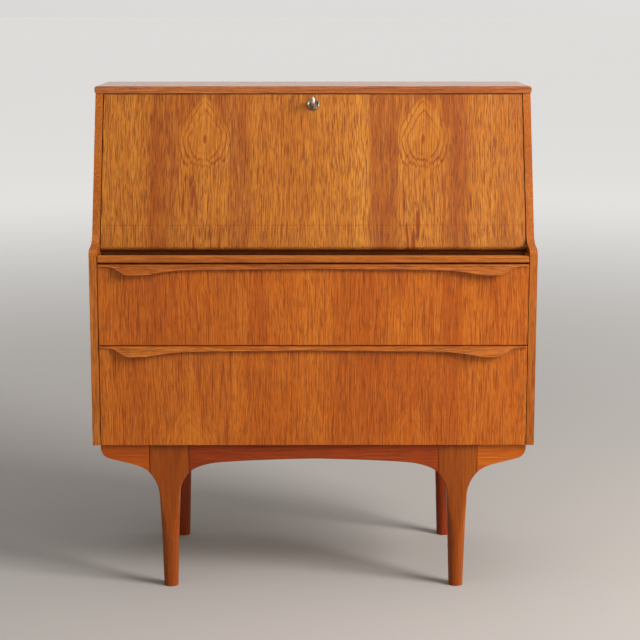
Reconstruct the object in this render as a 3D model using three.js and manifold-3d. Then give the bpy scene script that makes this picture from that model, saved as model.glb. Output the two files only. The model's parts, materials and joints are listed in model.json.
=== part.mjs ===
// Secretary desk in teak: a sloped drop flap over a pull-out support board and two full-width
// drawers, on a separate base frame with shaped legs. Millimetres, +Z up, the desk faces -Y.
// The origin is on the floor under the middle of the desk.
import * as THREE from "three";
import { mergeVertices } from "three/addons/utils/BufferGeometryUtils.js";
import Module from "manifold-3d";

const wasm = await Module();
wasm.setup();

// ---- Driving dimensions. y is measured backwards from the plane of the drawer fronts. ----
const WIDTH = 915; // over the two side panels
const DEPTH = 410; // drawer fronts to the back of the sides
const HEIGHT = 1040; // floor to the top surface
const BASE_HEIGHT = 308.5; // floor to the underside of the case
const TOUCH = 0.3; // gap left between pieces that are glued or rest on each other

const SIDE_T = 16;
const TOP_T = 15;
const TOP_OVERHANG = 2; // past each side panel
const TOP_EDGE_R = 5; // rounding of the top's ends
const TOP_NOSE = 1.5; // how far the top's front edge stands past the flap
const BACK_T = 6;
const BACK_INSET = 2;

const FRONT_T = 18; // drawer front thickness
const FRONT_SIDE_GAP = 1.5; // drawer front to side panel
const LOWER_FRONT_H = 208.8;
const UPPER_FRONT_H = 167.1;
const FRONT_GAP = 2; // between the two drawer fronts
const BOTTOM_GAP = 0.5; // lower drawer front above the underside of the case
const BOTTOM_T = 12;

const RAIL_T = 12; // the rails between drawers, and their runners
const RAIL_DEPTH = 60;
const RUNNER_W = 22;
const RUN_CLEAR = 0.5; // drawer sides above their runners
const DRAWER_SIDE_CLEAR = 2.5; // drawer box to side panel
const DRAWER_WALL = 12;
const DRAWER_BOTTOM_T = 5;
const GROOVE_DEPTH = 6;
const GROOVE_UP = 10; // drawer bottom above the lower edge of its sides
const GROOVE_CLEAR = 0.3;
const DRAWER_BACK_ROOM = 20; // behind a closed drawer
const KICK_CLEAR = 3.5; // drawer sides below the rail above them

const HANDLE_PROUD = 15; // the lip pull's greatest reach
const HANDLE_LOBE_H = 21.2; // its height at the two lobes
const HANDLE_END_H = 3.7;
const HANDLE_MID_H = 9;

const SLIDE_T = 13; // pull-out support board under the flap
const SLIDE_LIP_D = 22; // solid lipping along its front edge
const FELT_T = 3.4; // felt strip that the open flap lies on
const FELT_D = 31;
const FELT_END = 6; // strip short of the board's ends
const SLIDE_GAP = 3.5; // upper drawer front to support board
const SLIDE_SIDE_GAP = 0.8;
const SLIDE_BACK_ROOM = 80;
const SLIDE_REST = 0.7; // board above its rail and runners
const SLIDE_TRAVEL = 220; // kept short of the lock on the open flap
const STOP_X = 395;
const STOP_W = 30;
const STOP_L = 9;

const FLAP_T = 15;
const FLAP_SLOPE = THREE.MathUtils.degToRad(21); // from vertical
const FLAP_END_GAP = 2;
const FLAP_TOP_GAP = 2;
const FLAP_REST = 0.3; // open flap above the felt on the support board
const PIVOT_Y = 66.3;
const DECK_CLEAR = 1; // writing deck above the support board
const DECK_FRONT_GAP = 1.5; // closed flap to the deck's front edge
const SHOULDER_L = 36; // flat shoulder of the side panels in front of the flap
const SHOULDER_DROP = 3.5; // shoulder below the writing deck
const NOSE_R = 14;

const PIN_R = 4;
const PIN_IN = 12; // length inside the flap
const PIN_OUT = 8; // length past the flap's gap, in the bush
const BUSH_R = 6;
const BUSH_L = 9;
const PIN_CLEAR = 0.2;

const LOCK_DROP = 22.5; // keyhole below the flap's upper edge
const LOCK_W = 44;
const LOCK_H = 40;
const LOCK_SKIN = 4.3; // wood left in front of the lock
const LOCK_WALL = 2.4;
const BOLT_W = 12;
const BOLT_T = 4.4;
const BOLT_L = 26;
const BOLT_CLEAR = 0.3;
const BOLT_THROW = 12;
const STRIKE_T = 1.5;
const STRIKE_W = 50;
const STRIKE_D = 17;
const PLUG_R = 5.5;
const PLUG_PROUD = 1.6;
const PLUG_CLEAR = 0.2;
const ESC_R = 13;
const ESC_NECK_R = 7.8;
const ESC_T = 3; // height of the rosette's rim
const ESC_DISH_T = 0.8; // metal left under its dish
const KEYWAY_W = 2.8;
const KEYWAY_H = 7.4;
const KEYWAY_L = 7;
const KEY_SHAFT_L = 10.5;
const KEY_SHAFT_R = 2.6;
const KEY_BOW_D = 20; // ring-shaped bow, over its rounded bar
const KEY_BOW_BAR = 5.8;
const KEY_BOW_T = 7.2; // thickness of the bow seen on edge

const PIGEON_SHELF_T = 10;
const PIGEON_DEPTH = 160;
const PIGEON_T = 8;
const PIGEON_COUNT = 3; // upright dividers

const BASE_INSET = 10; // base frame behind the drawer fronts
const BASE_BACK_INSET = 3;
const BASE_SIDE_INSET = 15.5;
const BASE_RAIL_T = 24;
const BASE_RAIL_MID_H = 31; // front rail at the middle
const BASE_REAR_RAIL_H = 40;
const LEG_INSET = 157; // leg's middle from the outside of the case
const LEG_TOP_W = 82;
const LEG_TOP_D = 38;
const LEG_FOOT_W = 29.5;
const LEG_BLOCK_H = 61.5; // upright-sided head of the leg
const LEG_FLARE_H = 62; // the curve from the head into the shank
const LEG_SHANK_W = 40.8; // just under the curve
const STRETCHER_H = 38;

// ---- Levels and lines worked out from the sizes above ----
const inside = WIDTH / 2 - SIDE_T;
const caseTop = HEIGHT - TOP_T;
const lowerFrontZ = BASE_HEIGHT + BOTTOM_GAP;
const lowerFrontTop = lowerFrontZ + LOWER_FRONT_H;
const upperFrontZ = lowerFrontTop + FRONT_GAP;
const upperFrontTop = upperFrontZ + UPPER_FRONT_H;
const slideZ = upperFrontTop + SLIDE_GAP;
const slideTop = slideZ + SLIDE_T;
const feltTop = slideTop + TOUCH + FELT_T;
const pivotZ = feltTop + FLAP_REST + FLAP_T / 2;
const deckZ = pivotZ + FLAP_T / 2; // the writing deck is level with the open flap
const shoulderZ = deckZ - SHOULDER_DROP;
const backY = DEPTH - BACK_INSET - BACK_T; // front face of the back panel
const railY = FRONT_T + 2 * TOUCH;
const halfFlap = FLAP_T / 2 / Math.cos(FLAP_SLOPE); // half the flap's thickness along y
const flapOuterY = (z) => PIVOT_Y - halfFlap + (z - pivotZ) * Math.tan(FLAP_SLOPE);
const flapInnerY = (z) => flapOuterY(z) + 2 * halfFlap;
const topFrontY = flapOuterY(caseTop) - TOP_NOSE;
const flapLength =
  (caseTop - FLAP_TOP_GAP - pivotZ - (FLAP_T / 2) * Math.sin(FLAP_SLOPE)) / Math.cos(FLAP_SLOPE);
const flapHalfWidth = inside - FLAP_END_GAP;
const lockZ = flapLength - LOCK_DROP; // along the flap from its pivot
const pigeonShelfZ = (deckZ + caseTop - PIGEON_SHELF_T) / 2; // halfway up behind the flap
const dividerRailTop = (lowerFrontTop + upperFrontZ) / 2 + RAIL_T / 2;
const slideRailTop = slideZ - SLIDE_REST;

// ---- Materials ----
const finish = (color, roughness, metalness = 0) => () =>
  new THREE.MeshStandardMaterial({ color, roughness, metalness });
const teak = finish(0xb06a30, 0.45);
const teakRed = finish(0xa85c28, 0.45);
const teakLight = finish(0xb9783a, 0.45);
const felt = finish(0x3a2216, 0.95);
const lining = finish(0xc9a574, 0.6);
const plywood = finish(0xb8925f, 0.7);
const brass = finish(0xc2a25a, 0.35, 1);
const steel = finish(0xc9c7c4, 0.25, 1);

// ---- Helpers ----
const desk = new THREE.Group();
desk.name = "secretary_desk";
desk.position.y = HANDLE_PROUD - (HANDLE_PROUD + DEPTH) / 2;

function place(name, geometry, material, parent = desk) {
  const mesh = new THREE.Mesh(geometry, material());
  mesh.name = name;
  parent.add(mesh);
  return mesh;
}

function block(x, y, z) {
  const box = new THREE.BoxGeometry(x[1] - x[0], y[1] - y[0], z[1] - z[0]);
  return box.translate((x[0] + x[1]) / 2, (y[0] + y[1]) / 2, (z[0] + z[1]) / 2);
}

function toSolid(geometry) {
  const bare = geometry.clone();
  bare.deleteAttribute("normal");
  bare.deleteAttribute("uv");
  const merged = mergeVertices(bare, 1e-4);
  return new wasm.Manifold(
    new wasm.Mesh({
      numProp: 3,
      vertProperties: new Float32Array(merged.attributes.position.array),
      triVerts: new Uint32Array(merged.index.array),
    })
  );
}

function cut(geometry, ...cutters) {
  let solid = toSolid(geometry);
  for (const cutter of cutters) solid = solid.subtract(toSolid(cutter));
  return fromSolid(solid);
}

function join(...geometries) {
  let solid = toSolid(geometries[0]);
  for (const geometry of geometries.slice(1)) solid = solid.add(toSolid(geometry));
  return fromSolid(solid);
}

function fromSolid(solid) {
  const mesh = solid.getMesh();
  const geometry = new THREE.BufferGeometry();
  geometry.setAttribute("position", new THREE.BufferAttribute(mesh.vertProperties, 3));
  geometry.setIndex(new THREE.BufferAttribute(mesh.triVerts, 1));
  geometry.computeVertexNormals();
  return geometry;
}

// A shape drawn in (y, z) and extruded along x.
function alongX(shape, x0, x1, curveSegments = 8) {
  const settings = { depth: x1 - x0, bevelEnabled: false, curveSegments };
  const basis = new THREE.Matrix4().makeBasis(
    new THREE.Vector3(0, 1, 0),
    new THREE.Vector3(0, 0, 1),
    new THREE.Vector3(1, 0, 0)
  );
  return new THREE.ExtrudeGeometry(shape, settings).applyMatrix4(basis).translate(x0, 0, 0);
}

// A shape drawn in (x, z) and extruded along y.
function alongY(shape, y0, y1, curveSegments = 8) {
  const settings = { depth: y1 - y0, bevelEnabled: false, curveSegments };
  return new THREE.ExtrudeGeometry(shape, settings).rotateX(Math.PI / 2).translate(0, y1, 0);
}

// A closed skin over a row of rings, each a list of points in the same order.
function loft(rings) {
  const count = rings[0].length;
  const points = rings.flat();
  const index = [];
  for (let r = 0; r + 1 < rings.length; r += 1) {
    for (let i = 0; i < count; i += 1) {
      const a = r * count + i;
      const b = r * count + ((i + 1) % count);
      index.push(a, b, b + count, a, b + count, a + count);
    }
  }
  for (const [ring, flip] of [[0, true], [rings.length - 1, false]]) {
    const flat = THREE.ShapeUtils.triangulateShape(flattened(rings[ring]), []);
    for (const [a, b, c] of flat) {
      const face = flip ? [c, b, a] : [a, b, c];
      index.push(...face.map((i) => ring * count + i));
    }
  }
  const geometry = new THREE.BufferGeometry().setFromPoints(points);
  geometry.setIndex(index);
  geometry.computeVertexNormals();
  return geometry;
}

// A ring's points in its own plane, counter-clockwise as seen from the loft's far end.
function flattened(ring) {
  const [u, v] = spreadOf(ring, "x") > 1e-6 ? ["x", "y"] : ["y", "z"];
  return ring.map((p) => new THREE.Vector2(p[u], p[v]));
}

function spreadOf(ring, axis) {
  const values = ring.map((p) => p[axis]);
  return Math.max(...values) - Math.min(...values);
}

const smooth = (t) => THREE.MathUtils.smoothstep(t, 0, 1);
const sides = [["left", -1], ["right", 1]];
const ordered = (a, b) => (a < b ? [a, b] : [b, a]);

// ---- Case ----
function sideProfile() {
  const shape = new THREE.Shape();
  shape.moveTo(0, BASE_HEIGHT);
  shape.lineTo(DEPTH, BASE_HEIGHT);
  shape.lineTo(DEPTH, caseTop - TOUCH);
  shape.lineTo(flapOuterY(caseTop - TOUCH), caseTop - TOUCH);
  shape.lineTo(flapOuterY(shoulderZ + 27), shoulderZ + 27);
  shape.quadraticCurveTo(flapOuterY(shoulderZ + 4), shoulderZ + 4, SHOULDER_L, shoulderZ + 1.5);
  shape.lineTo(NOSE_R, shoulderZ - 1);
  shape.quadraticCurveTo(0.5, shoulderZ - 3, 0, shoulderZ - NOSE_R);
  return shape;
}

function rod(radius, x0, x1, segments = 24) {
  const cylinder = new THREE.CylinderGeometry(radius, radius, x1 - x0, segments);
  return cylinder.rotateZ(Math.PI / 2).translate((x0 + x1) / 2, 0, 0);
}

function sidePanels() {
  for (const [name, side] of sides) {
    const panel = alongX(sideProfile(), ...ordered(side * inside, side * WIDTH / 2));
    const reach = ordered(side * (inside - 1), side * (inside + BUSH_L + TOUCH));
    const hole = rod(BUSH_R + TOUCH, ...reach).translate(0, PIVOT_Y, pivotZ);
    place(`side_panel_${name}`, cut(panel, hole), teak);

    const bushReach = ordered(side * inside, side * (inside + BUSH_L));
    const bore = rod(PIN_R + PIN_CLEAR, ...ordered(side * (inside - 1), side * (inside + BUSH_L + 1)));
    const bush = cut(rod(BUSH_R, ...bushReach), bore);
    place(`pivot_bush_${name}`, bush.translate(0, PIVOT_Y, pivotZ), brass);
  }
}

function topPanel() {
  const half = WIDTH / 2 + TOP_OVERHANG;
  const r = TOP_EDGE_R;
  const shape = new THREE.Shape();
  shape.moveTo(-half + r, caseTop);
  shape.lineTo(half - r, caseTop);
  shape.absarc(half - r, caseTop + r, r, -Math.PI / 2, 0);
  shape.absarc(half - r, HEIGHT - r, r, 0, Math.PI / 2);
  shape.absarc(-half + r, HEIGHT - r, r, Math.PI / 2, Math.PI);
  shape.absarc(-half + r, caseTop + r, r, Math.PI, 1.5 * Math.PI);
  const board = alongY(shape, topFrontY, DEPTH, 4);
  const recess = strikeBlock(TOUCH, STRIKE_T + 2 * TOUCH, -1);
  place("top_panel", cut(board, recess, boltPath()), teak);
}

// The strike plate's block, let into the underside of the top around the bolt's path.
function strikeBlock(spare, thickness, under = 0) {
  const middle = boltMouthY();
  const x = STRIKE_W / 2 + spare;
  const y = STRIKE_D / 2 + spare;
  return block([-x, x], [middle - y, middle + y], [caseTop + under, caseTop + thickness]);
}

// Where the bolt's middle line meets the underside of the top.
function boltMouthY() {
  const inFlap = new THREE.Vector3(0, boltY(), (caseTop - pivotZ) / Math.cos(FLAP_SLOPE));
  return inFlap.applyAxisAngle(new THREE.Vector3(1, 0, 0), -FLAP_SLOPE).y + PIVOT_Y;
}

function boltY() {
  return FLAP_T / 2 - TOUCH - LOCK_WALL - BOLT_CLEAR - BOLT_T / 2;
}

// The space that the thrown bolt sweeps above the flap, with room all round.
function boltPath() {
  const room = 1;
  const x = BOLT_W / 2 + room;
  const y = BOLT_T / 2 + room;
  const z = [flapLength, flapLength + BOLT_THROW + room];
  const path = block([-x, x], [boltY() - y, boltY() + y], z);
  return path.rotateX(-FLAP_SLOPE).translate(0, PIVOT_Y, pivotZ);
}

function strikePlate() {
  const plate = strikeBlock(0, STRIKE_T + TOUCH).translate(0, 0, TOUCH / 2);
  place("strike_plate", cut(plate, boltPath()), brass);
}

function caseBoards() {
  const x = [-inside + TOUCH, inside - TOUCH];
  const back = block(x, [backY, backY + BACK_T], [BASE_HEIGHT + TOUCH, caseTop - TOUCH]);
  place("back_panel", back, plywood);

  const bottomZ = BASE_HEIGHT + TOUCH;
  const bottom = block(x, [railY, backY - TOUCH], [bottomZ, bottomZ + BOTTOM_T]);
  place("bottom_panel", bottom, lining);

  const deckFront = flapInnerY(deckZ) + DECK_FRONT_GAP;
  const deck = block(x, [deckFront, backY - TOUCH], [slideTop + DECK_CLEAR, deckZ]);
  place("writing_deck", deck, teakLight);
}

function railAndRunners(railName, runnerName, top) {
  const z = [top - RAIL_T, top];
  const x = [-inside + TOUCH, inside - TOUCH];
  place(railName, block(x, [railY, railY + RAIL_DEPTH], z), teakRed);
  for (const [name, side] of sides) {
    const across = ordered(side * (inside - TOUCH), side * (inside - TOUCH - RUNNER_W));
    const along = [railY + RAIL_DEPTH + TOUCH, backY - TOUCH];
    place(`${runnerName}_${name}`, block(across, along, z), lining);
  }
}

function pigeonholes() {
  const y = [backY - PIGEON_DEPTH, backY - TOUCH];
  const shelfZ = [pigeonShelfZ, pigeonShelfZ + PIGEON_SHELF_T];
  const shelf = block([-inside + TOUCH, inside - TOUCH], y, shelfZ);
  place("pigeonhole_shelf", shelf, teakLight);
  const pitch = (2 * inside) / (PIGEON_COUNT + 1);
  for (let i = 1; i <= PIGEON_COUNT; i += 1) {
    const x = -inside + i * pitch;
    const z = [deckZ + TOUCH, pigeonShelfZ - TOUCH];
    const divider = block([x - PIGEON_T / 2, x + PIGEON_T / 2], y, z);
    place(`pigeonhole_divider_${i}`, divider, teakLight);
  }
}

// ---- Support board ----
function supportSlide() {
  const x = [SLIDE_SIDE_GAP - inside, inside - SLIDE_SIDE_GAP];
  const z = [slideZ, slideTop];
  const board = block(x, [SLIDE_LIP_D + TOUCH, DEPTH - SLIDE_BACK_ROOM], z);
  place("support_slide", board, teakLight);
  place("support_slide_lipping", block(x, [0, SLIDE_LIP_D], z), teakLight);
  const feltX = x[1] - FELT_END;
  const feltY = [SLIDE_LIP_D + TOUCH, SLIDE_LIP_D + TOUCH + FELT_D];
  place("support_slide_felt", block([-feltX, feltX], feltY, [slideTop + TOUCH, feltTop]), felt);
  const stopY = railY + RAIL_DEPTH + SLIDE_TRAVEL;
  const stopZ = [slideRailTop - RAIL_T, slideZ - TOUCH];
  for (const [name, side] of sides) {
    const x = ordered(side * (STOP_X - STOP_W / 2), side * (STOP_X + STOP_W / 2));
    place(`slide_stop_${name}`, block(x, [stopY, stopY + STOP_L], stopZ), lining);
  }
}

// ---- Flap, drawn upright about its pivot and then leaned back ----
function flapAssembly() {
  const flap = new THREE.Group();
  flap.position.set(0, PIVOT_Y, pivotZ);
  flap.rotation.x = -FLAP_SLOPE;
  desk.add(flap);
  const r = FLAP_T / 2;
  const shape = new THREE.Shape();
  shape.moveTo(r, 0);
  shape.lineTo(r, flapLength);
  shape.lineTo(-r, flapLength);
  shape.lineTo(-r, 0);
  shape.absarc(0, 0, r, Math.PI, 2 * Math.PI);
  const panel = alongX(shape, -flapHalfWidth, flapHalfWidth, 8);
  const pinHoles = sides.map(([, side]) => {
    const reach = [side * (flapHalfWidth - PIN_IN - TOUCH), side * (flapHalfWidth + 1)];
    return rod(PIN_R + TOUCH, ...ordered(...reach));
  });
  const skinY = -r + LOCK_SKIN;
  const pocketX = LOCK_W / 2 + TOUCH;
  const pocketZ = flapLength - LOCK_H - TOUCH;
  const pocket = block([-pocketX, pocketX], [skinY, r + 1], [pocketZ, flapLength + 1]);
  const neckHole = disc(ESC_NECK_R + TOUCH, -r - 1, skinY + 1, lockZ);
  place("flap_panel", cut(panel, ...pinHoles, pocket, neckHole), teak, flap);
  for (const [name, side] of sides) {
    const reach = [side * (flapHalfWidth - PIN_IN), side * (inside + PIN_OUT)];
    place(`flap_pin_${name}`, rod(PIN_R, ...ordered(...reach)), steel, flap);
  }
  lock(flap);
}

// A round bar along y at height z.
function disc(radius, y0, y1, z, segments = 32) {
  const cylinder = new THREE.CylinderGeometry(radius, radius, y1 - y0, segments);
  return cylinder.translate(0, (y0 + y1) / 2, z);
}

function lock(flap) {
  const face = -FLAP_T / 2; // outer face of the flap
  const caseY = [face + LOCK_SKIN + TOUCH, -face - TOUCH];
  const body = block([-LOCK_W / 2, LOCK_W / 2], caseY, [flapLength - LOCK_H, flapLength - TOUCH]);
  const channelX = BOLT_W / 2 + BOLT_CLEAR;
  const channelY = [boltY() - BOLT_T / 2 - BOLT_CLEAR, boltY() + BOLT_T / 2 + BOLT_CLEAR];
  const boltZ = flapLength - TOUCH - BOLT_L;
  const channel = block([-channelX, channelX], channelY, [boltZ - BOLT_CLEAR, flapLength + 1]);
  const bore = disc(PLUG_R + PLUG_CLEAR, caseY[0] - 1, channelY[0] + TOUCH, lockZ);
  place("lock_case", cut(body, channel, bore), steel, flap);

  const boltX = BOLT_W / 2;
  const boltDepth = [boltY() - BOLT_T / 2, boltY() + BOLT_T / 2];
  const bolt = block([-boltX, boltX], boltDepth, [boltZ, boltZ + BOLT_L]);
  place("lock_bolt", bolt, brass, flap);

  escutcheon(flap, face);

  const plugBack = channelY[0] - TOUCH;
  const plug = disc(PLUG_R, face - PLUG_PROUD, plugBack, lockZ);
  const keyway = block(
    [-KEYWAY_W / 2, KEYWAY_W / 2],
    [face - PLUG_PROUD - 1, face - PLUG_PROUD + KEYWAY_L],
    [lockZ - KEYWAY_H / 2, lockZ + KEYWAY_H / 2]
  );
  place("lock_plug", cut(plug, keyway), steel, flap);
  key(flap, face - PLUG_PROUD);
}

function escutcheon(flap, face) {
  const bore = PLUG_R + PLUG_CLEAR;
  const front = TOUCH + ESC_T;
  const profile = [
    [bore, TOUCH - LOCK_SKIN + TOUCH],
    [ESC_NECK_R, TOUCH - LOCK_SKIN + TOUCH],
    [ESC_NECK_R, TOUCH],
    [ESC_R, TOUCH],
    [ESC_R, TOUCH + 0.45 * ESC_T],
    [ESC_R - 0.4, TOUCH + 0.8 * ESC_T],
    [ESC_R - 1.2, front],
    [ESC_R - 2.2, front],
    [ESC_R - 2.8, TOUCH + 0.85 * ESC_T],
    [ESC_R - 4.2, TOUCH + 1.15 * ESC_DISH_T],
    [ESC_R - 5, TOUCH + ESC_DISH_T],
    [bore, TOUCH + ESC_DISH_T],
    [bore, TOUCH - LOCK_SKIN + TOUCH],
  ].map(([r, out]) => new THREE.Vector2(r, out));
  const ring = new THREE.LatheGeometry(profile, 32).rotateX(Math.PI);
  place("lock_escutcheon", ring.translate(0, face, lockZ), steel, flap);
}

// The key stands out of the plug, its ring-shaped bow on edge.
function key(flap, plugFace) {
  const spare = TOUCH;
  const shaftEnd = plugFace - spare - KEY_SHAFT_L;
  const bladeX = KEYWAY_W / 2 - spare;
  const bladeZ = KEYWAY_H / 2 - spare;
  const bladeY = [plugFace - 2 * spare, plugFace + KEYWAY_L - spare];
  const blade = block([-bladeX, bladeX], bladeY, [lockZ - bladeZ, lockZ + bladeZ]);
  const shaft = disc(KEY_SHAFT_R, shaftEnd - 1, plugFace - spare, lockZ, 16);
  const bow = new THREE.TorusGeometry((KEY_BOW_D - KEY_BOW_BAR) / 2, KEY_BOW_BAR / 2, 12, 28);
  bow.rotateY(Math.PI / 2).scale(KEY_BOW_T / KEY_BOW_BAR, 1, 1);
  bow.translate(0, shaftEnd - KEY_BOW_D / 2, lockZ);
  place("key", join(blade, shaft, bow), steel, flap);
}

// ---- Drawers ----
function drawer(name, frontZ, frontTop, runTop, ceiling) {
  const frontHalf = inside - FRONT_SIDE_GAP;
  const outer = inside - DRAWER_SIDE_CLEAR;
  const inner = outer - DRAWER_WALL;
  const y0 = FRONT_T + TOUCH;
  const y1 = backY - DRAWER_BACK_ROOM;
  const z0 = runTop + RUN_CLEAR;
  const z1 = ceiling - KICK_CLEAR;
  const floorZ = z0 + GROOVE_UP;
  const grooveZ = [floorZ - GROOVE_CLEAR, floorZ + DRAWER_BOTTOM_T + GROOVE_CLEAR];
  const grooveX = inner + GROOVE_DEPTH + GROOVE_CLEAR;
  const groove = block([-grooveX, grooveX], [FRONT_T - GROOVE_DEPTH - GROOVE_CLEAR, y1 + 1], grooveZ);

  const front = block([-frontHalf, frontHalf], [0, FRONT_T], [frontZ, frontTop]);
  place(`${name}_front`, cut(front, groove), teakRed);
  for (const [sideName, side] of sides) {
    const wall = block(ordered(side * inner, side * outer), [y0, y1], [z0, z1]);
    place(`${name}_side_${sideName}`, cut(wall, groove), lining);
  }
  const backX = inner - TOUCH;
  const back = block([-backX, backX], [y1 - DRAWER_WALL, y1], [grooveZ[1], z1]);
  place(`${name}_back`, back, lining);
  const floorX = inner + GROOVE_DEPTH;
  const floor = block([-floorX, floorX], [FRONT_T - GROOVE_DEPTH, y1], [floorZ, floorZ + DRAWER_BOTTOM_T]);
  place(`${name}_bottom`, floor, plywood);
  place(`${name}_handle`, handle(frontHalf, frontTop), teakLight);
}

// The lip's height against the distance from the end of the drawer front.
function handleHeights(frontHalf) {
  const rise = HANDLE_LOBE_H - HANDLE_END_H;
  const fall = HANDLE_LOBE_H - HANDLE_MID_H;
  return new THREE.SplineCurve([
    new THREE.Vector2(0, HANDLE_END_H),
    new THREE.Vector2(26, HANDLE_END_H + 0.08 * rise),
    new THREE.Vector2(42, HANDLE_END_H + 0.55 * rise),
    new THREE.Vector2(57, HANDLE_LOBE_H - 0.05 * rise),
    new THREE.Vector2(76, HANDLE_LOBE_H),
    new THREE.Vector2(102, HANDLE_LOBE_H - 0.1 * fall),
    new THREE.Vector2(148, HANDLE_LOBE_H - 0.62 * fall),
    new THREE.Vector2(210, HANDLE_LOBE_H - 0.84 * fall),
    new THREE.Vector2(frontHalf, HANDLE_MID_H),
  ]);
}

// Carved lip pull: its hollow face slopes outwards to a round rim over a finger groove.
function handle(frontHalf, top) {
  const half = handleHeights(frontHalf).getPoints(28);
  const left = half.map((p) => [p.x - frontHalf, Math.min(p.y, HANDLE_LOBE_H)]);
  const right = left.slice(0, -1).reverse().map(([x, h]) => [-x, h]);
  const rings = [...left, ...right].map(([x, h]) => {
    return handleSection(h, top).map(([y, z]) => new THREE.Vector3(x, y, z));
  });
  return loft(rings);
}

// The lip's outline in (y, z) where it is h high.
function handleSection(h, top) {
  const reach = HANDLE_PROUD * (0.08 + (0.92 * h) / HANDLE_LOBE_H);
  const rim = Math.min(1.7, h / 5);
  const low = top - h;
  const faceDrop = h - 0.5 - 1.4 * rim;
  const face = [0.3, 0.6, 0.85].map((t) => [-reach * (0.4 + 0.6 * t ** 1.7), top - 0.5 - t * faceDrop]);
  const edge = [180, 215, 250].map((degrees) => {
    const angle = THREE.MathUtils.degToRad(degrees);
    return [-reach + rim + rim * Math.cos(angle), low + rim + rim * Math.sin(angle)];
  });
  return [
    [-0.4 * reach - 0.2, top],
    [-0.4 * reach - 0.5, top - 0.5],
    ...face,
    ...edge,
    [-reach + 1.4 * rim, low],
    [-0.5 * reach, low + 0.26 * h],
    [-TOUCH, low + 0.14 * h],
    [-TOUCH, top],
  ];
}

// ---- Base frame ----
const baseTop = BASE_HEIGHT - TOUCH;
const baseFront = BASE_INSET;
const baseBack = DEPTH - BASE_BACK_INSET;
const legX = WIDTH / 2 - LEG_INSET;
const legHeadZ = baseTop - LEG_BLOCK_H;
const legShankZ = legHeadZ - LEG_FLARE_H;

function legHalfWidth(z) {
  const shank = THREE.MathUtils.lerp(LEG_FOOT_W, LEG_SHANK_W, Math.min(z / legShankZ, 1)) / 2;
  const t = THREE.MathUtils.clamp((z - legShankZ) / LEG_FLARE_H, 0, 1);
  return shank + (LEG_TOP_W / 2 - shank) * t ** 2.6;
}

// One level of a leg: square-cornered at the head, turning oval and then round down the shank.
function legRing(x, front, facing, z) {
  const count = 40;
  const a = legHalfWidth(z);
  const b = THREE.MathUtils.lerp(LEG_FOOT_W, LEG_TOP_D, Math.min(z / legHeadZ, 1)) / 2;
  const power = 2 / (2 + 22 * smooth((z - 0.5 * legHeadZ) / (0.55 * legHeadZ)));
  const ring = [];
  for (let i = 0; i < count; i += 1) {
    const angle = (2 * Math.PI * i) / count;
    const c = Math.cos(angle);
    const s = Math.sin(angle);
    const across = a * Math.sign(c) * Math.abs(c) ** power;
    const along = b * Math.sign(s) * Math.abs(s) ** power;
    ring.push(new THREE.Vector3(x + across, front + facing * b + along, z));
  }
  return ring;
}

function legs() {
  const levels = [0, 0.25, 0.5, 0.75].map((t) => t * legShankZ);
  const curveSteps = 14;
  for (let i = 0; i <= curveSteps; i += 1) {
    levels.push(legShankZ + LEG_FLARE_H * Math.sin((Math.PI / 2) * (i / curveSteps)));
  }
  levels.push(baseTop);
  for (const [name, side] of sides) {
    const front = levels.map((z) => legRing(side * legX, baseFront, 1, z));
    place(`front_leg_${name}`, loft(front), teak);
    const rear = levels.map((z) => legRing(side * legX, baseBack, -1, z));
    place(`rear_leg_${name}`, loft(rear), teak);
  }
}

const legEdge = LEG_TOP_W / 2 + TOUCH;
const baseHalf = WIDTH / 2 - BASE_SIDE_INSET;

function wings() {
  const root = legX + legEdge;
  const across = baseHalf - root;
  for (const [name, side] of sides) {
    const at = (t, z) => [side * (root + t * across), z];
    const shape = new THREE.Shape();
    shape.moveTo(...at(0, baseTop));
    shape.lineTo(...at(0, legHeadZ + 1));
    shape.quadraticCurveTo(...at(0.12, legHeadZ + 13), ...at(0.33, legHeadZ + 18.5));
    shape.lineTo(...at(0.8, legHeadZ + 30.5));
    shape.quadraticCurveTo(...at(0.99, legHeadZ + 35), ...at(1, baseTop - 8));
    shape.lineTo(...at(1, baseTop));
    const wing = alongY(shape, baseFront, baseFront + BASE_RAIL_T, 16);
    place(`front_wing_${name}`, wing, teakLight);
  }
}

function frontRail() {
  const half = legX - legEdge;
  const middle = baseTop - BASE_RAIL_MID_H;
  const shoulder = middle - 9;
  const shape = new THREE.Shape();
  shape.moveTo(-half, baseTop);
  shape.lineTo(-half, legHeadZ + 1);
  shape.quadraticCurveTo(-half + 16, legHeadZ + 16, -half + 54, shoulder);
  shape.quadraticCurveTo(-half + 110, middle - 3, 0, middle);
  shape.quadraticCurveTo(half - 110, middle - 3, half - 54, shoulder);
  shape.quadraticCurveTo(half - 16, legHeadZ + 16, half, legHeadZ + 1);
  shape.lineTo(half, baseTop);
  place("base_front_rail", alongY(shape, baseFront, baseFront + BASE_RAIL_T, 20), teakLight);
}

function rearRailAndStretchers() {
  const half = legX - legEdge;
  const rearY = [baseBack - BASE_RAIL_T, baseBack];
  const rail = block([-half, half], rearY, [baseTop - BASE_REAR_RAIL_H, baseTop]);
  place("base_rear_rail", rail, teakLight);
  const y = [baseFront + LEG_TOP_D + TOUCH, baseBack - LEG_TOP_D - TOUCH];
  for (const [name, side] of sides) {
    const x = side * legX;
    const stretcher = block(
      [x - BASE_RAIL_T / 2, x + BASE_RAIL_T / 2], y, [baseTop - STRETCHER_H, baseTop]
    );
    place(`base_stretcher_${name}`, stretcher, teakLight);
  }
}

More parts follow.
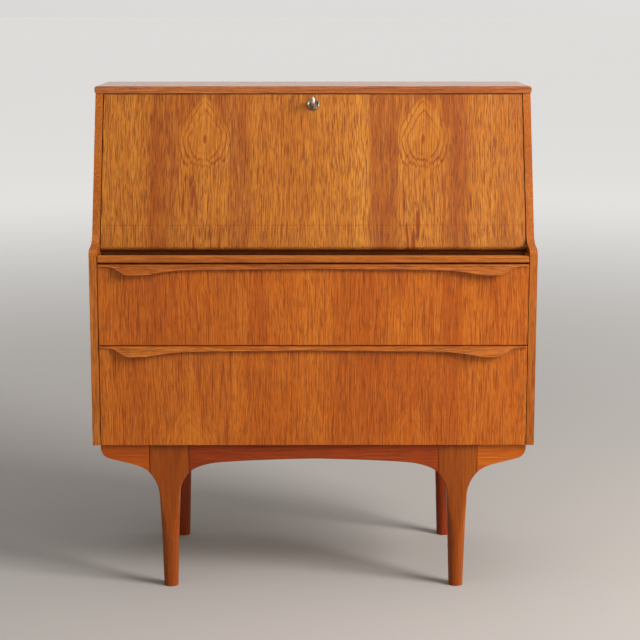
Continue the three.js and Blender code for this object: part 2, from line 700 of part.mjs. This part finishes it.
// ---- Assembly ----
sidePanels();
topPanel();
strikePlate();
caseBoards();
railAndRunners("divider_rail", "divider_runner", dividerRailTop);
railAndRunners("slide_rail", "slide_runner", slideRailTop);
pigeonholes();
supportSlide();
flapAssembly();
const bottomPanelTop = BASE_HEIGHT + TOUCH + BOTTOM_T;
drawer("lower_drawer", lowerFrontZ, lowerFrontTop, bottomPanelTop, dividerRailTop - RAIL_T);
drawer("upper_drawer", upperFrontZ, upperFrontTop, dividerRailTop, slideRailTop - RAIL_T);
legs();
wings();
frontRail();
rearRailAndStretchers();

export default desk;
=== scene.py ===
"""Looks for the secretary desk: oiled teak, beech drawer boxes, plywood, felt, brass, nickel and steel.

Metres, +Z up, the desk faces -Y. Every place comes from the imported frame's nodes.
"""

import json
import math

import bpy
from mathutils import Euler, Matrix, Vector


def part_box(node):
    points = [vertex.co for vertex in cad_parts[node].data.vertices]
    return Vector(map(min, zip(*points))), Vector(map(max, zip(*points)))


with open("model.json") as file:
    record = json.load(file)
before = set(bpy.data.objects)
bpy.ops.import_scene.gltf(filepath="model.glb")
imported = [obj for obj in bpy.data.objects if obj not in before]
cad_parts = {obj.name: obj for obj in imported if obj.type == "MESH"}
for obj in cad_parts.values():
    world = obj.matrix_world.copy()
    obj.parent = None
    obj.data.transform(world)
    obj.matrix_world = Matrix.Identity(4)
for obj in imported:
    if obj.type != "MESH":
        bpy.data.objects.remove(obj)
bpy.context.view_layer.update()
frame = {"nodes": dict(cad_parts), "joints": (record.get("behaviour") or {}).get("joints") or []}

NODES = frame["nodes"]
JOINTS = {joint["name"]: joint for joint in frame["joints"]}
FLAP_PIVOT = Vector(JOINTS["flap_hinge"]["pos_m"])
FLAP_UP = Vector(JOINTS["bolt_slide"]["axis"])
FLAP_SLOPE = math.atan2(FLAP_UP.y, FLAP_UP.z)
FRONT_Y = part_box("side_panel_left")[0].y


# ---------------------------------------------------------------- camera, light, floor

CAMERA_DISTANCE = 3.591  # in front of the side panels' front edges
CAMERA_HEIGHT = 1.2055
CAMERA_PITCH = math.radians(10)
CAMERA_YAW = math.radians(0.22)
LENS = 100.1
SENSOR_WIDTH = 36

HORIZON_LIGHT = 0.74  # the surround's strength up to this sine of height
HORIZON_HEIGHT = 0.08
OVERHEAD_LIGHT = 0.30  # and above this one
OVERHEAD_HEIGHT = 0.42
SIDEWAYS_LIGHT = 0.8  # how much stronger towards +X, and weaker towards -X
SURROUND_COLOUR = (0.97, 0.96, 0.94, 1)

LIT_POINT = (0, 0, 0.6)  # what every lamp points at
FLOOR_SIZE = 400
FLOOR_FADE = (0.6, 8.0)  # distances from the desk's middle between which the floor turns into the surround
FAR_FLOOR = (0.97, 0.96, 0.95)
FAR_GLOW = 0.42


def camera():
    data = bpy.data.cameras.new("camera")
    data.lens = LENS
    data.sensor_width = SENSOR_WIDTH
    eye = bpy.data.objects.new("camera", data)
    eye.location = (0, FRONT_Y - CAMERA_DISTANCE, CAMERA_HEIGHT)
    eye.rotation_euler = (math.pi / 2 - CAMERA_PITCH, 0, -CAMERA_YAW)
    bpy.context.scene.collection.objects.link(eye)
    bpy.context.scene.camera = eye


def area_light(name, place, size, watts, colour):
    data = bpy.data.lights.new(name, "AREA")
    data.shape = "RECTANGLE"
    data.size, data.size_y = size
    data.energy = watts
    data.color = colour
    lamp = bpy.data.objects.new(name, data)
    lamp.location = place
    lamp.rotation_euler = (Vector(LIT_POINT) - Vector(place)).to_track_quat("-Z", "Y").to_euler()
    bpy.context.scene.collection.objects.link(lamp)


def surround():
    """Pale all round near the horizon, dimmer overhead and brighter on the window's side."""
    world = bpy.data.worlds.new("studio")
    world.use_nodes = True
    tree = world.node_tree
    background = tree.nodes["Background"]
    background.inputs["Color"].default_value = SURROUND_COLOUR
    direction = tree.nodes.new("ShaderNodeTexCoord").outputs["Generated"]
    split = tree.nodes.new("ShaderNodeSeparateXYZ")
    tree.links.new(direction, split.inputs[0])

    def math_node(operation, *inputs):
        made = tree.nodes.new("ShaderNodeMath")
        made.operation = operation
        for socket, value in zip(made.inputs, inputs):
            if isinstance(value, bpy.types.NodeSocket):
                tree.links.new(value, socket)
            else:
                socket.default_value = value
        return made.outputs[0]

    fade = tree.nodes.new("ShaderNodeMapRange")
    fade.interpolation_type = "SMOOTHSTEP"
    limits = (HORIZON_HEIGHT, OVERHEAD_HEIGHT, HORIZON_LIGHT, OVERHEAD_LIGHT)
    for socket, value in zip(fade.inputs[1:5], limits):
        socket.default_value = value
    tree.links.new(split.outputs["Z"], fade.inputs[0])
    sideways = math_node("MULTIPLY", split.outputs["X"], math_node("ABSOLUTE", split.outputs["X"]))
    sideways = math_node("MULTIPLY_ADD", sideways, SIDEWAYS_LIGHT, 1.0)
    strength = math_node("MULTIPLY", fade.outputs[0], sideways)
    tree.links.new(strength, background.inputs["Strength"])
    bpy.context.scene.world = world


def studio():
    area_light("window", place=(3.2, -1.9, 2.4), size=(1.6, 1.8), watts=242, colour=(1.0, 0.98, 0.95))
    area_light("ceiling", place=(0.2, -0.2, 3.6), size=(3.4, 3.0), watts=45, colour=(1.0, 0.98, 0.96))
    area_light("fill", place=(-2.8, -2.4, 1.6), size=(2.4, 2.4), watts=5, colour=(0.97, 0.98, 1.0))
    surround()
    bpy.context.scene.view_settings.view_transform = "Standard"

    bpy.ops.mesh.primitive_plane_add(size=FLOOR_SIZE, location=(0, 0, 0))
    floor = bpy.context.object
    floor.name = "floor"
    floor.data.materials.append(floor_material())


# ---------------------------------------------------------------- node graphs


class Value:
    """A socket's value, with + - * and abs() written as math nodes."""

    def __init__(self, graph, socket):
        self.graph = graph
        self.socket = socket

    def __add__(self, other):
        return self.graph.math("ADD", self, other)

    def __sub__(self, other):
        return self.graph.math("SUBTRACT", self, other)

    def __rsub__(self, other):
        return self.graph.math("SUBTRACT", other, self)

    def __mul__(self, other):
        return self.graph.math("MULTIPLY", self, other)

    def __abs__(self):
        return self.graph.math("ABSOLUTE", self)


class Graph:
    """A material's node tree, written as expressions."""

    def __init__(self, name):
        self.material = bpy.data.materials.new(name)
        self.material.use_nodes = True
        self.tree = self.material.node_tree
        self.shader = self.tree.nodes["Principled BSDF"]
        coordinates = self.tree.nodes.new("ShaderNodeTexCoord")
        self.object = Value(self, coordinates.outputs["Object"])

    def put(self, socket, value):
        if isinstance(value, Value):
            self.tree.links.new(value.socket, socket)
        else:
            socket.default_value = value

    def node(self, kind, inputs, **settings):
        made = self.tree.nodes.new(kind)
        for key, value in settings.items():
            setattr(made, key, value)
        for key, value in inputs.items():
            self.put(made.inputs[key], value)
        return Value(self, made.outputs[0])

    def math(self, operation, a, b=0.0):
        return self.node("ShaderNodeMath", {0: a, 1: b}, operation=operation)

    def root(self, value):
        return self.math("SQRT", value)

    def most(self, a, b):
        return self.math("MAXIMUM", a, b)

    def wrap(self, value, low, high):
        """The value brought between low and high by whole steps of their difference."""
        return self.node("ShaderNodeMath", {0: value, 1: high, 2: low}, operation="WRAP")

    def turned(self, rotation, location=(0, 0, 0)):
        inputs = {"Vector": self.object, "Rotation": rotation, "Location": location}
        return self.node("ShaderNodeMapping", inputs)

    def split(self, vector):
        made = self.tree.nodes.new("ShaderNodeSeparateXYZ")
        self.put(made.inputs[0], vector)
        return [Value(self, output) for output in made.outputs]

    def joined(self, x, y, z):
        return self.node("ShaderNodeCombineXYZ", {0: x, 1: y, 2: z})

    def noise(self, vector, scale, detail=2.0, roughness=0.5):
        """Noise from 0 to 1, with scale bumps a metre along each axis."""
        stretched = self.node("ShaderNodeVectorMath", {0: vector, 1: scale}, operation="MULTIPLY")
        inputs = {"Vector": stretched, "Scale": 1.0, "Detail": detail, "Roughness": roughness}
        return self.node("ShaderNodeTexNoise", inputs)

    def waver(self, vector, scale, detail=2.0):
        """Noise about 0."""
        return self.noise(vector, scale, detail) - 0.5

    def smooth(self, value, low, high, to_low=0.0, to_high=1.0):
        """A soft step from to_low where the value is low to to_high where it is high."""
        inputs = {0: value, 1: low, 2: high, 3: to_low, 4: to_high}
        return self.node("ShaderNodeMapRange", inputs, interpolation_type="SMOOTHSTEP")

    def ramp(self, value, stops):
        made = self.tree.nodes.new("ShaderNodeValToRGB")
        self.put(made.inputs[0], value)
        elements = made.color_ramp.elements
        while len(elements) < len(stops):
            elements.new(1.0)
        for element, (position, colour) in zip(elements, stops):
            element.position = position
            element.color = (*colour, 1)
        return Value(self, made.outputs[0])

    def mix(self, factor, a, b):
        made = self.tree.nodes.new("ShaderNodeMix")
        made.data_type = "RGBA"
        colour_a, colour_b = made.inputs[6:8]
        self.put(made.inputs[0], factor)
        for socket, value in ((colour_a, a), (colour_b, b)):
            self.put(socket, value if isinstance(value, Value) else (*value, 1))
        return Value(self, made.outputs[2])

    def all_over(self, **values):
        """Values that are the same all over, on the shader's own sockets."""
        for key, value in values.items():
            self.shader.inputs[key.replace("_", " ")].default_value = value

    def finish(self, colour, roughness, height, distance):
        self.put(self.shader.inputs["Base Color"], colour)
        self.put(self.shader.inputs["Roughness"], roughness)
        bump = self.node("ShaderNodeBump", {"Height": height, "Distance": distance, "Strength": 0.5})
        self.put(self.shader.inputs["Normal"], bump)
        return self.material


def srgb(red, green, blue):
    """A colour given in the usual 0-255 steps, as the linear values that shaders use."""
    return tuple(
        c / 12.92 if c <= 0.04045 else ((c + 0.055) / 1.055) ** 2.4
        for c in (red / 255, green / 255, blue / 255)
    )


# ---------------------------------------------------------------- teak

# Turns that bring each grain direction to the local Z axis.
GRAIN_UP = (0, 0, 0)
GRAIN_ACROSS = (0, -math.pi / 2, 0)
GRAIN_BACK = (math.pi / 2, 0, 0)


def tones(light, middle, dark, pore):
    return {"light": srgb(*light), "middle": srgb(*middle), "dark": srgb(*dark), "pore": srgb(*pore)}


GOLDEN = tones((196, 128, 46), (177, 106, 33), (136, 62, 18), (106, 46, 11))
ORANGE = tones((200, 116, 34), (184, 96, 22), (150, 62, 12), (106, 38, 6))
SOLID = tones((190, 114, 40), (168, 90, 26), (130, 58, 14), (92, 38, 8))
WING = tones((194, 104, 22), (174, 80, 10), (138, 54, 6), (100, 36, 3))
# Darker tones for the base: the front legs' brown is painted shade, as from a dark floor below; the red of
# the rails, rear legs and stretchers is partly the wood's own colour and partly painted shade under the
# case.
BROWN_PAINTED_SHADE = tones((164, 88, 20), (144, 67, 9), (112, 42, 4), (78, 26, 3))
RED_PARTLY_PAINTED_SHADE = tones((158, 66, 14), (138, 50, 7), (106, 34, 4), (70, 20, 3))

# Scales of the grain's noises: bumps a metre across it, through the leaf and along it.
SWAY = (5, 5, 2.4)
BROAD = (16, 16, 1.4)
STREAK = (400, 400, 8)
SHORT_DASHES = (840, 840, 42)
LONG_DASHES = (660, 660, 17)
BREAKS = (42, 42, 16)
PATCHES = (95, 95, 9)
FEATHERS = (105, 105, 10)
LIPPING_BREAKS = (60, 1, 1)

# Of these noises, the values between which a mark goes from absent to full.
SHORT_CUT = (0.50, 0.62)
LONG_CUT = (0.53, 0.63)
BREAK_CUT = (0.32, 0.54)
FEATHER_CUT = (0.55, 0.62)
LIPPING_CUT = (0.32, 0.55)

SWAY_REACH = 0.02  # from the grain's furthest wander to one side to that on the other
BROAD_TINT = 0.8  # how strongly the broad and the streaky noise change the tone
STREAK_TINT = 0.9
TONE_STOPS = (("dark", 0.1), ("middle", 0.5), ("light", 0.8))
SHORT_DARK = 0.85  # of the short dashes, next to the long ones
DASH_ROUGH = 0.2  # roughness that a dash adds
STREAK_RELIEF = 0.4  # height of the streaks, next to a dash's depth
TEAK_SPECULAR = 0.2
COAT_ROUGHNESS = 0.14
TEAK_RELIEF = 0.00016

# Leaves of veneer, and the figure in each. Its lengths are across (u) and up (v) from its eye.
LEAF = 0.459  # width of one leaf
LEAF_MIDDLE = -0.229  # x of the left leaf's figure
FIGURE_UP = 0.229  # the eye, above the flap's pivot
ONION_HALF = 0.043  # the main loop: half its width, and its reach above and below the eye
ONION_UP = 0.082
ONION_DOWN = 0.056
ONION_POWER = 1.25  # of the curve above the eye: 1 is straight to a point, 2 an ellipse
EYE_WIDE = 0.0045  # the dark fleck in the middle: half its width and half its height
EYE_HIGH = 0.012
EYE_EDGE = (0.5, 1.15)  # full to absent, in those halves
EYE_DARK = 0.9

RAGGED = (170, 1, 1)  # small shifts up and down
RAGGED_REACH = (-0.05, -0.015, 0.045, 0.004)  # much larger below the first height than above the second
WANDER = (24, 16, 1)  # the loops' wavering, up and down and from one to the next
WANDER_UP = 0.026
WANDER_OUT = 0.22
LEAN = (13, 9, 1)  # and sideways
LEAN_REACH = 0.022

LOOPS = 4.0  # growth lines from the eye to the main loop
LINE_WIDTH = 0.34  # in steps from one growth line to the next, and more below the eye
LINE_EXTRA = (-0.018, -0.045, 0.0, 0.22)
LINE_INNER = (0.35, 0.85, 0.15, 1.0)  # faint near the eye
LINE_OUTER = (1.9, 1.25)  # and gone well outside the main loop
LINE_FOOT = (-0.075, -0.045)

BAND_LEFT = (-0.115, -0.108)  # outer edges of the dark bands, each from absent to full
BAND_RIGHT = (0.098, 0.091)
BAND_INNER = (0.042, 0.064)  # and their inner edges, either side of the eye
BAND_PATCHES = (0.36, 0.64, 0.42, 1.0)
BAND_DARK = 0.75
ARCH = (1.05, 1.35)  # how far out, in main loops, the bands close above the figure
ARCH_UP = (0.0, 0.045)

FEATHER_UP = (-0.065, -0.095)  # feathers below the figure
FEATHER_ACROSS = (0.066, 0.034)
CALM = (0.7, 1.5, 0.7, 1.0)  # the fine grain's strength inside the loops and outside

LIPPING_UP = 0.044  # the joint line of the flap's lipping, above its pivot
LIPPING_EDGES = (0.0011, 0.0002)
LIPPING_DARK = 0.6


def dashes(graph, flow):
    """Fine dark dashes along the grain: a dense short layer and a longer loose one."""
    short = graph.smooth(graph.noise(flow, SHORT_DASHES), *SHORT_CUT)
    long = graph.smooth(graph.noise(flow, LONG_DASHES), *LONG_CUT)
    return graph.most(short * SHORT_DARK, long)


def onion(graph, u, v):
    """Loops from the eye outwards, pointed above it and round below; 1 on the main loop."""
    across = abs(u) * (1 / ONION_HALF)
    up = graph.most(v, 0.0) * (1 / ONION_UP)
    down = graph.most(0.0 - v, 0.0) * (1 / ONION_DOWN)
    pointed = graph.math("POWER", across, ONION_POWER) + graph.math("POWER", up, ONION_POWER)
    pointed = graph.math("POWER", pointed, 1 / ONION_POWER)
    round_below = graph.root(across * across + down * down)
    return pointed + round_below - across


def growth_lines(graph, flow, v, rings):
    """Thin dark loops, broken up along the grain."""
    broken = graph.smooth(graph.noise(flow, BREAKS), *BREAK_CUT)
    step = graph.math("FRACT", rings * LOOPS) - graph.smooth(v, *LINE_EXTRA)
    line = (1.0 - graph.smooth(step, 0.0, LINE_WIDTH)) * broken
    line = line * graph.smooth(rings, *LINE_INNER) * graph.smooth(rings, *LINE_OUTER)
    return line * graph.smooth(v, *LINE_FOOT)


def eye_fleck(graph, u, v):
    """The dark fleck in the middle of the loops."""
    out = graph.root((u * u) * (1 / EYE_WIDE**2) + (v * v) * (1 / EYE_HIGH**2))
    return (1.0 - graph.smooth(out, *EYE_EDGE)) * EYE_DARK


def side_bands(graph, flow, u, v, rings):
    """Darker wood either side of the figure, closing over it."""
    inside = graph.smooth(u, *BAND_LEFT) * graph.smooth(u, *BAND_RIGHT)
    sides = graph.smooth(abs(u), *BAND_INNER)
    arch = graph.smooth(rings, *ARCH) * graph.smooth(v, *ARCH_UP)
    patch = graph.noise(flow, PATCHES, detail=3.0, roughness=0.6)
    return graph.most(sides, arch) * inside * graph.smooth(patch, *BAND_PATCHES) * BAND_DARK


def feathers(graph, flow, u, v):
    """Short dark strokes hanging from the figure's foot."""
    stroke = graph.smooth(graph.noise(flow, FEATHERS), *FEATHER_CUT)
    return stroke * graph.smooth(v, *FEATHER_UP) * graph.smooth(abs(u), *FEATHER_ACROSS)


def figure(graph, flow, u, v):
    """Darkness of a crown-cut leaf around its eye: growth lines, side bands and feathers below.

    With it comes how much of the fine grain shows, which is calmer inside the loops.
    """
    here = graph.joined(u, v, 0.0)
    v = v + graph.waver(graph.joined(u, 0.0, 0.0), RAGGED, detail=3.0) * graph.smooth(v, *RAGGED_REACH)
    wander = graph.waver(here, WANDER)
    lean = graph.waver(here, LEAN)
    rings = onion(graph, u + lean * LEAN_REACH, v + wander * WANDER_UP) + wander * WANDER_OUT

    loops = graph.most(growth_lines(graph, flow, v, rings), eye_fleck(graph, u, v))
    around = graph.most(side_bands(graph, flow, u, v, rings), feathers(graph, flow, u, v))
    return graph.most(loops, around), graph.smooth(rings, *CALM)


def lipping(graph, vector, height):
    """A fine broken joint line across the grain."""
    x, _, z = graph.split(vector)
    line = graph.smooth(abs(z - height), *LIPPING_EDGES)
    broken = graph.noise(graph.joined(x, 0.0, 0.0), LIPPING_BREAKS, detail=3.0)
    return line * graph.smooth(broken, *LIPPING_CUT)


def teak(name, tone, turn, place=(0, 0, 0), leaves=None, joint=None, gloss=0.40, dashed=0.6, coat=0.0):
    """Oiled teak with its grain along the turned frame's Z axis.

    leaves gives the height of the figure in slip-matched leaves of veneer and how strongly it shows,
    joint the height of a fine line where a lipping meets the veneer, gloss the middle roughness,
    dashed the dashes' strength and coat the weight of a clear finish.
    """
    graph = Graph(name)
    vector = graph.turned(turn, place)
    x, y, z = graph.split(vector)
    bent = x + graph.waver(vector, SWAY) * SWAY_REACH
    flow = graph.joined(bent, y, z)

    broad = graph.noise(flow, BROAD, detail=3.0)
    streak = graph.noise(flow, STREAK, roughness=0.6)
    tint = (broad - 0.5) * BROAD_TINT + (streak - 0.5) * STREAK_TINT + 0.5
    colour = graph.ramp(tint, [(stop, tone[key]) for key, stop in TONE_STOPS])
    marks = dashes(graph, flow)
    if leaves:
        height, strength = leaves
        u = graph.wrap(bent, LEAF_MIDDLE - LEAF / 2, LEAF_MIDDLE + LEAF / 2) - LEAF_MIDDLE
        dark, calm = figure(graph, flow, u, z - height)
        colour = graph.mix(dark * strength, colour, tone["dark"])
        marks = marks * calm
    colour = graph.mix(marks * dashed, colour, tone["pore"])
    if joint is not None:
        colour = graph.mix(lipping(graph, vector, joint) * LIPPING_DARK, colour, tone["pore"])
    graph.all_over(Specular_IOR_Level=TEAK_SPECULAR, Coat_Weight=coat, Coat_Roughness=COAT_ROUGHNESS)
    matt = graph.smooth(broad, 0.25, 0.75, gloss - 0.04, gloss + 0.05) + marks * DASH_ROUGH
    relief = streak * STREAK_RELIEF - marks
    return graph.finish(colour, matt, relief, TEAK_RELIEF)


# ---------------------------------------------------------------- plain woods, felt, metal and floor

PLAIN_RELIEF = 0.0001  # depth of the relief, before the bump's own strength of a half
FELT_RELIEF = 0.0006
METAL_RELIEF = 0.00002


def beech(name, turn):
    """Plain pale wood of the drawer boxes and runners."""
    graph = Graph(name)
    vector = graph.turned(turn)
    broad = graph.noise(vector, (30, 30, 2), detail=3.0)
    fleck = graph.noise(vector, (620, 620, 90))
    stops = [(0.3, srgb(188, 144, 96)), (0.5, srgb(204, 164, 114)), (0.7, srgb(216, 180, 132))]
    flecked = graph.smooth(fleck, 0.56, 0.68) * 0.5
    colour = graph.mix(flecked, graph.ramp(broad, stops), srgb(146, 98, 58))
    return graph.finish(colour, graph.smooth(broad, 0.2, 0.8, 0.5, 0.62), fleck, PLAIN_RELIEF)


def plywood(name, turn):
    """Thin rotary-cut sheet: wide wandering grain, dull surface."""
    graph = Graph(name)
    vector = graph.turned(turn)
    x, y, z = graph.split(vector)
    sway = graph.noise(vector, (4, 4, 1.5), detail=3.0)
    flow = graph.joined(x + sway * 0.1, y, z)
    wave = graph.noise(flow, (38, 38, 1.6), detail=4.0, roughness=0.6)
    stops = [(0.3, srgb(134, 88, 50)), (0.5, srgb(164, 116, 70)), (0.7, srgb(182, 136, 88))]
    fine = graph.noise(flow, (460, 460, 20))
    pores = graph.smooth(fine, 0.54, 0.68) * 0.5
    colour = graph.mix(pores, graph.ramp(wave, stops), srgb(108, 68, 38))
    return graph.finish(colour, graph.smooth(wave, 0.2, 0.8, 0.62, 0.74), fine, PLAIN_RELIEF)


def felt():
    """Dark brown felt, its darkness painted shade standing in for the shadowed gap below the flap: matted
    fibres without any shine, a little cloudy.
    """
    graph = Graph("felt")
    matted = graph.noise(graph.object, (900, 900, 900), detail=4.0, roughness=0.7)
    cloud = graph.noise(graph.object, (60, 60, 60))
    colour = graph.mix(graph.smooth(matted, 0.3, 0.7), srgb(40, 16, 6), srgb(66, 32, 14))
    colour = graph.mix(graph.smooth(cloud, 0.4, 0.7) * 0.4, colour, srgb(78, 42, 20))
    graph.all_over(Specular_IOR_Level=0.0)
    return graph.finish(colour, graph.smooth(matted, 0.3, 0.7, 0.88, 0.98), matted, FELT_RELIEF)


def metal(name, colour, tarnish_and_painted_dark, roughness):
    """Bright or brushed metal with handling marks and slight tarnish; on the nickel the darker colours are
    also painted reflection of a dark room.
    """
    graph = Graph(name)
    cloud = graph.noise(graph.object, (220, 220, 220), detail=4.0)
    scratch = graph.noise(graph.object, (4000, 500, 500))
    mixed = graph.mix(graph.smooth(cloud, 0.35, 0.75), colour, tarnish_and_painted_dark)
    graph.all_over(Metallic=1.0)
    worn = graph.smooth(scratch, 0.3, 0.7, roughness - 0.06, roughness + 0.1)
    return graph.finish(mixed, worn, scratch, METAL_RELIEF)


def floor_material():
    """Pale matt floor that turns into the surround far away."""
    graph = Graph("floor")
    grain = graph.noise(graph.object, (900, 900, 900))
    near = graph.mix(grain, srgb(164, 159, 155), srgb(174, 169, 165))
    x, y, _ = graph.split(graph.object)
    far = graph.smooth(graph.root(x * x + y * y), *FLOOR_FADE)
    colour = graph.mix(far, near, FAR_FLOOR)
    graph.all_over(Emission_Color=SURROUND_COLOUR)
    graph.put(graph.shader.inputs["Emission Strength"], far * FAR_GLOW)
    return graph.finish(colour, 0.9, grain, PLAIN_RELIEF)


# ---------------------------------------------------------------- finishing the CAD nodes

WELD_WITHIN = 0.00002
CRISP = 0.0003  # radius of the edges of small metal pieces


def dress(node, material, edge=0.0012, segments=3, angle=30):
    """Eases a CAD node's edges and gives it its material."""
    piece = NODES[node]
    piece.data.materials.clear()
    piece.data.materials.append(material)
    if "custom_normal" in piece.data.attributes:
        piece.data.attributes.remove(piece.data.attributes["custom_normal"])
    for face in piece.data.polygons:
        face.use_smooth = True
        face.material_index = 0
    weld = piece.modifiers.new("weld", "WELD")
    weld.merge_threshold = WELD_WITHIN
    bevel = piece.modifiers.new("eased_edges", "BEVEL")
    bevel.width = edge
    bevel.segments = segments
    bevel.limit_method = "ANGLE"
    bevel.angle_limit = math.radians(angle)
    bevel.harden_normals = True


def dress_all(nodes, material, **easing):
    for node in nodes:
        dress(node, material, **easing)


def nodes_like(*words):
    return sorted(name for name in NODES if any(word in name for word in words))


def flap_frame():
    """The Mapping that turns the leaning flap upright about its pivot."""
    turn = Euler((FLAP_SLOPE, 0, 0))
    return tuple(turn), tuple(-(turn.to_matrix() @ FLAP_PIVOT))


def dress_case():
    flap_turn, flap_place = flap_frame()
    veneer = teak(
        "teak_flap", GOLDEN, flap_turn, flap_place, leaves=(FIGURE_UP, 1.0), joint=LIPPING_UP, dashed=0.85
    )
    dress("flap_panel", veneer, edge=0.0010)
    sides = teak("teak_sides", SOLID, GRAIN_UP, (0.31, 0, 0), gloss=0.30, dashed=0.62)
    dress_all(nodes_like("side_panel"), sides, edge=0.0025)
    top = teak("teak_top", SOLID, GRAIN_ACROSS, gloss=0.30, coat=0.7)
    dress("top_panel", top, edge=0.0016)
    board = teak("teak_slide", SOLID, GRAIN_ACROSS, (0, 0, 0.4), dashed=0.5)
    dress("support_slide", board, edge=0.0006)
    dress("support_slide_lipping", board, edge=0.0020)
    # the felt strip's dark colour is painted shade of the gap under the flap
    dress("support_slide_felt", felt(), edge=0.0006)
    inner = teak("teak_inner", GOLDEN, GRAIN_ACROSS, (0, 0, 1.3))
    dress_all(["writing_deck", "pigeonhole_shelf", "divider_rail", "slide_rail"], inner)
    upright = teak("teak_upright", GOLDEN, GRAIN_UP, (0.9, 0, 0))
    dress_all(nodes_like("pigeonhole_divider"), upright)
    dress("back_panel", plywood("plywood_upright", GRAIN_UP), edge=0.0005)


def dress_drawers():
    upper = teak("teak_front_upper", ORANGE, GRAIN_UP, (0.02, 0, 0), leaves=(0.9, 0.5), dashed=0.66)
    dress("upper_drawer_front", upper, edge=0.0009)
    lower = teak("teak_front_lower", ORANGE, GRAIN_UP, (0.03, 0, 0.6), leaves=(0.9, 0.5), dashed=0.66)
    dress("lower_drawer_front", lower, edge=0.0009)
    lip = teak("teak_lip", SOLID, GRAIN_ACROSS, (0, 0, 0.2), dashed=0.7)
    dress_all(nodes_like("_handle"), lip, edge=0.0004, segments=2, angle=50)
    dress_all(nodes_like("_drawer_side", "_runner_"), beech("beech_along", GRAIN_BACK))
    across = beech("beech_across", GRAIN_ACROSS)
    dress_all(["bottom_panel", *nodes_like("drawer_back", "slide_stop")], across)
    dress_all(nodes_like("drawer_bottom"), plywood("plywood_across", GRAIN_ACROSS), edge=0.0005)


def dress_base():
    # Painted shade: the legs' and rails' tones are darker than the teak above to stand in for shade near
    # the floor.
    leg = teak("teak_leg", BROWN_PAINTED_SHADE, GRAIN_UP, gloss=0.34, dashed=0.25)
    dress_all(nodes_like("front_leg"), leg, edge=0.0030, angle=40)
    rear = teak("teak_rear_leg", RED_PARTLY_PAINTED_SHADE, GRAIN_UP, (0.4, 0, 0), dashed=0.3)
    dress_all(nodes_like("rear_leg"), rear, edge=0.0012, angle=50)
    wing = teak("teak_wing", WING, GRAIN_ACROSS, (0, 0, 0.7), dashed=0.25)
    dress_all(nodes_like("front_wing"), wing, edge=0.0060, segments=5, angle=40)
    rail = teak("teak_rail", RED_PARTLY_PAINTED_SHADE, GRAIN_ACROSS, (0, 0, 0.9), dashed=0.3)
    dress_all(["base_front_rail", "base_rear_rail"], rail, edge=0.0045, segments=4, angle=40)
    dress_all(nodes_like("base_stretcher"), teak("teak_stretcher", RED_PARTLY_PAINTED_SHADE, GRAIN_BACK))


def dress_metal():
    brass = metal("brass", srgb(206, 172, 104), srgb(150, 116, 62), 0.28)
    dress_all(["strike_plate", "lock_bolt", *nodes_like("pivot_bush")], brass, edge=CRISP)
    bright = metal("bright_steel", srgb(226, 222, 212), srgb(196, 190, 180), 0.26)
    dress("key", bright, edge=0.0002, angle=40)
    # the escutcheon and plug are darkened partly by ageing and partly as painted reflection of a dark room
    # in their dish
    darkened_nickel = metal("nickel_aged_and_painted_dark", srgb(150, 138, 124), srgb(84, 70, 58), 0.26)
    dress_all(["lock_escutcheon", "lock_plug"], darkened_nickel, edge=0.0002, angle=40)
    steel = metal("plain_steel", srgb(170, 168, 166), srgb(128, 124, 120), 0.35)
    dress_all(["lock_case", *nodes_like("flap_pin")], steel, edge=CRISP)


camera()
studio()
dress_case()
dress_drawers()
dress_base()
dress_metal()
